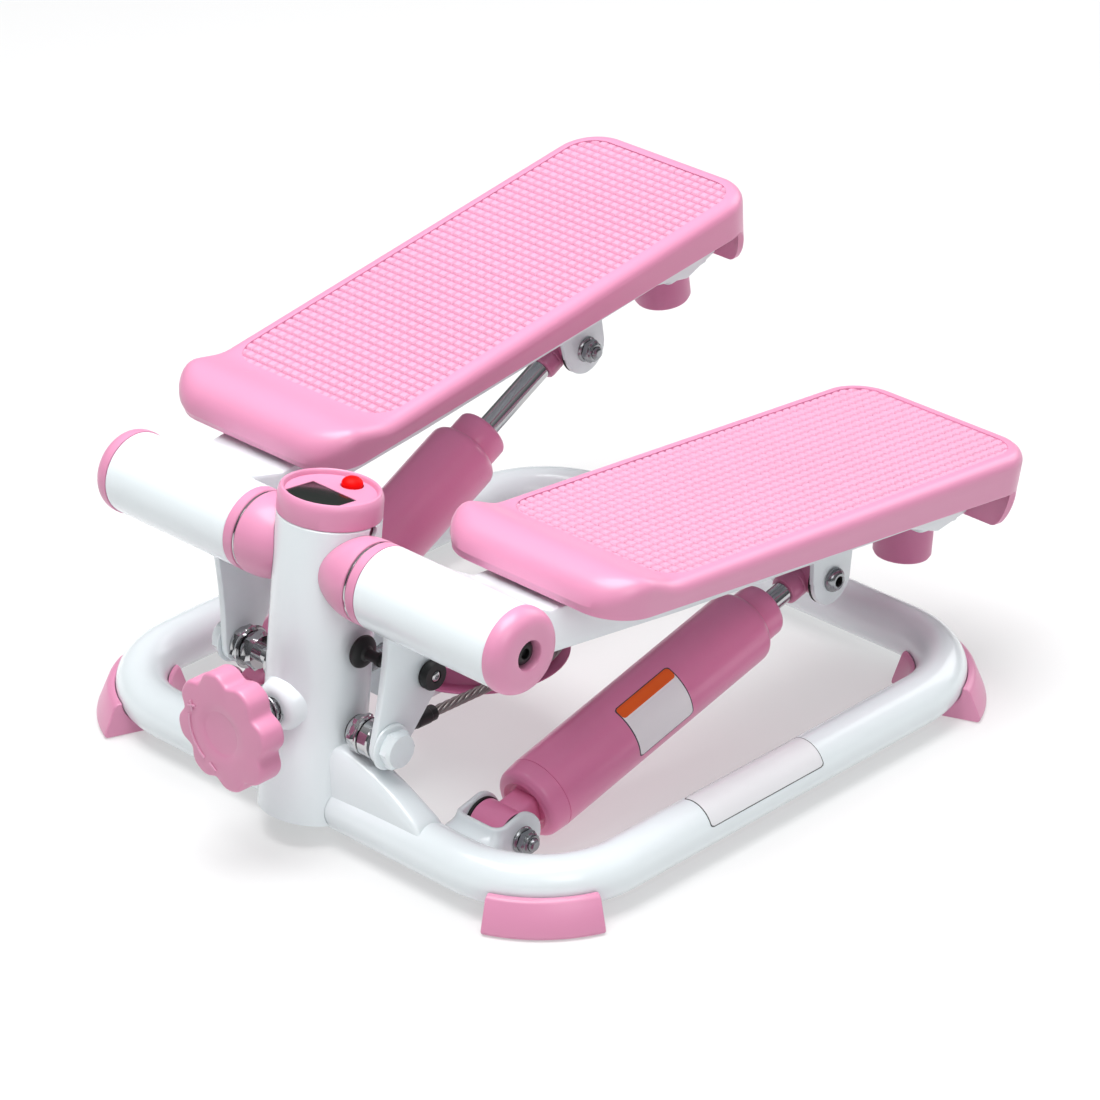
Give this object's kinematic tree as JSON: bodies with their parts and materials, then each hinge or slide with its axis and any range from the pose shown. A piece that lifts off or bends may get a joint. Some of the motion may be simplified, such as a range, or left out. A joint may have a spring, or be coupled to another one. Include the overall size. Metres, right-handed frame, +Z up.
{
  "type": "mini stepper",
  "caption": "Mini stepper: hinged foot pedals joined by a rope round a pulley, each with a hydraulic cylinder, on a tubular floor frame with a display post.",
  "frame": {"origin": "on the floor under the middle of the whole outline", "axes": "+Z up; the post and knob are at -Y, the user stands facing -Y, and +X is the user's left pedal"},
  "size_m": [0.3984, 0.4848, 0.2462],
  "materials": {
    "white_paint": "gloss white powder coat",
    "pink_plastic": "satin moulded",
    "mauve_paint": "satin paint",
    "mauve_plastic": "satin moulded",
    "chrome": "polished",
    "steel": "zinc plated",
    "black_rubber": "matt black",
    "red_plastic": "gloss",
    "screen": "dark window",
    "rope": "twisted wire"
  },
  "bodies": {
    "frame": {"base_tube": "white_paint", "foot_front_left": "pink_plastic", "foot_front_right": "pink_plastic", "foot_rear_left": "pink_plastic", "foot_rear_right": "pink_plastic", "front_post": "white_paint", "gusset_left": "white_paint", "gusset_right": "white_paint", "monitor_housing": "pink_plastic", "display_window": "screen", "pivot_axle": "steel", "cone_bush_left": "pink_plastic", "cone_bush_right": "pink_plastic", "thrust_ring_left": "chrome", "thrust_ring_right": "chrome", "end_screw_left": "black_rubber", "end_screw_right": "black_rubber", "knob_boss": "white_paint", "knob_spring": "chrome", "foot_bracket_left": "white_paint", "foot_bracket_right": "white_paint", "foot_bolt_left": "chrome", "foot_bolt_right": "chrome"},
    "button": {"reset_button": "red_plastic"},
    "knob": {"height_knob": "pink_plastic", "knob_screw": "steel"},
    "carriage": {"pulley_yoke": "white_paint", "pulley_axle": "steel", "rope_wrap": "rope"},
    "pulley": {"rope_pulley": "mauve_plastic"},
    "left_pedal": {"pivot_tube_left": "white_paint", "end_cap_left": "pink_plastic", "lever_plate_left": "white_paint", "lever_bolt_left": "chrome", "stop_rubber_left": "black_rubber", "pedal_arm_left": "white_paint", "pedal_shell_left": "pink_plastic", "rear_bumper_left": "mauve_plastic", "ear_bolt_left": "chrome", "magnet_holder_left": "black_rubber"},
    "right_pedal": {"pivot_tube_right": "white_paint", "end_cap_right": "pink_plastic", "lever_plate_right": "white_paint", "lever_bolt_right": "chrome", "stop_rubber_right": "black_rubber", "pedal_arm_right": "white_paint", "pedal_shell_right": "pink_plastic", "rear_bumper_right": "mauve_plastic", "ear_bolt_right": "chrome"},
    "left_rope": {"rope_end_left": "black_rubber", "rope_run_left": "rope"},
    "right_rope": {"rope_end_right": "black_rubber", "rope_run_right": "rope"},
    "left_cylinder": {"cylinder_body_left": "mauve_paint"},
    "left_rod": {"piston_rod_left": "chrome", "rod_end_left": "mauve_paint"},
    "right_cylinder": {"cylinder_body_right": "mauve_paint"},
    "right_rod": {"piston_rod_right": "chrome", "rod_end_right": "mauve_paint"}
  },
  "joints": [
    {"name": "left_pedal_hinge", "type": "hinge", "parent": "frame", "child": "left_pedal", "pos_m": [0.09, -0.16607, 0.162], "axis": [1, 0, 0], "range_deg": [-3.3, 17.8]},
    {"name": "right_pedal_hinge", "type": "hinge", "parent": "frame", "child": "right_pedal", "pos_m": [-0.09, -0.16607, 0.162], "axis": [1, 0, 0], "range_deg": [-18, 3.5]},
    {"name": "left_rope_end_hinge", "type": "hinge", "parent": "left_pedal", "child": "left_rope", "pos_m": [0.0495, -0.17395, 0.07134], "axis": [1, 0, 0], "range_deg": [-18, 3.5], "deforming": ["rope_run_left"]},
    {"name": "left_cylinder_tilt", "type": "hinge", "parent": "frame", "child": "left_cylinder", "pos_m": [0.103, -0.13207, 0.019], "axis": [1, 0, 0], "range_deg": [-3.29, 16.85]},
    {"name": "left_rod_slide", "type": "slide", "parent": "left_cylinder", "child": "left_rod", "axis": [0, 0.9714, 0.2376], "range_m": [-0.00887, 0.04564]},
    {"name": "right_rope_end_hinge", "type": "hinge", "parent": "right_pedal", "child": "right_rope", "pos_m": [-0.0495, -0.151, 0.07225], "axis": [1, 0, 0], "range_deg": [-3.5, 18], "deforming": ["rope_run_right"]},
    {"name": "right_cylinder_tilt", "type": "hinge", "parent": "frame", "child": "right_cylinder", "pos_m": [-0.103, -0.13207, 0.019], "axis": [1, 0, 0], "range_deg": [-16.86, 3.29]},
    {"name": "right_rod_slide", "type": "slide", "parent": "right_cylinder", "child": "right_rod", "axis": [0, 0.8885, 0.4588], "range_m": [-0.04552, 0.00885]},
    {"name": "height_knob_turn", "type": "hinge", "parent": "frame", "child": "knob", "pos_m": [0, -0.23407, 0.083], "axis": [0, 1, 0], "range_deg": [-1080, 1080]},
    {"name": "pulley_carriage_slide", "type": "slide", "parent": "frame", "child": "carriage", "axis": [0, 1, 0], "range_m": [-0.0053, 0.0053]},
    {"name": "pulley_spin", "type": "hinge", "parent": "carriage", "child": "pulley", "pos_m": [0, -0.04707, 0.067], "axis": [0, 0, 1], "range_deg": [-6.4, 33.1]},
    {"name": "reset_button_press", "type": "slide", "parent": "frame", "child": "button", "axis": [0, 0.1184, 0.993], "range_m": [-0.001, 0], "stiffness_N_per_m": 900, "springref_m": 0.0004}
  ],
  "couplings": [
    {"joint": "right_pedal_hinge", "follows": "left_pedal_hinge", "ratio": -1},
    {"joint": "left_rope_end_hinge", "follows": "left_pedal_hinge", "ratio": -1},
    {"joint": "left_cylinder_tilt", "follows": "left_pedal_hinge", "ratio": 0.9354},
    {"joint": "left_rod_slide", "follows": "left_pedal_hinge", "m_per_rad": 0.1453},
    {"joint": "right_rope_end_hinge", "follows": "left_pedal_hinge", "ratio": 1},
    {"joint": "right_cylinder_tilt", "follows": "left_pedal_hinge", "ratio": -0.9359},
    {"joint": "right_rod_slide", "follows": "left_pedal_hinge", "m_per_rad": -0.1449},
    {"joint": "pulley_carriage_slide", "follows": "height_knob_turn", "m_per_rad": -0.0002785},
    {"joint": "pulley_spin", "follows": "left_pedal_hinge", "ratio": 1.838}
  ]
}
